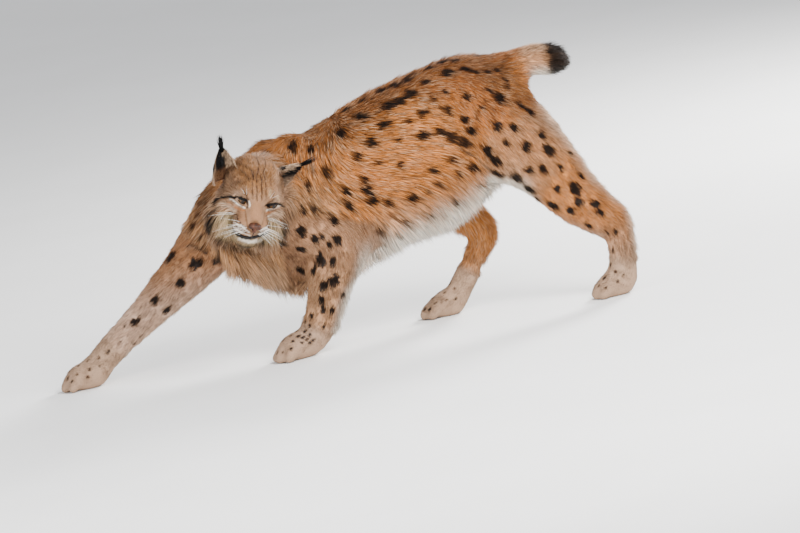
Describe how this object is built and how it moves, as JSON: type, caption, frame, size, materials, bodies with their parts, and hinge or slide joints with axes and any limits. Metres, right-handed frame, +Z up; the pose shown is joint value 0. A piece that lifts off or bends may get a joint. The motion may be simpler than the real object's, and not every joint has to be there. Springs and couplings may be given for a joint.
{
  "type": "eurasian lynx",
  "caption": "Life-size still model of a Eurasian lynx striding low, head turned to its left, with tufted ears, cheek ruff, spotted coat and a short tail held level.",
  "frame": {"origin": "on the floor, below the middle of the model's box", "axes": "+X from the head end towards the tail, +Y towards the right side of the lynx, +Z up"},
  "size_m": [1.2936, 0.4548, 0.5705],
  "materials": {
    "coat": "short dense fur, warm tan with dark spots",
    "face_fur": "short fur, grey brown with a white muzzle and ruff",
    "ear_fur": "short dark fur with a pale patch and black tufts",
    "paw_fur": "short pale fur with small spots",
    "eye": "wet gloss, amber iris",
    "nose_leather": "moist fine-grained leather"
  },
  "bodies": {
    "root": {"neck": "coat", "tail": "coat", "foreleg_left": "coat", "foreleg_right": "coat", "shank_left": "coat", "thigh_left": "coat", "shank_right": "coat", "thigh_right": "coat", "chest": "coat", "belly": "coat", "rump": "coat", "forepaw_left": "paw_fur", "forepaw_right": "paw_fur", "hindpaw_left": "paw_fur", "hindpaw_right": "paw_fur", "head": "face_fur", "eye_left": "eye", "eye_right": "eye", "nose": "nose_leather", "ear_left": "ear_fur", "ear_right": "ear_fur"}
  },
  "joints": []
}
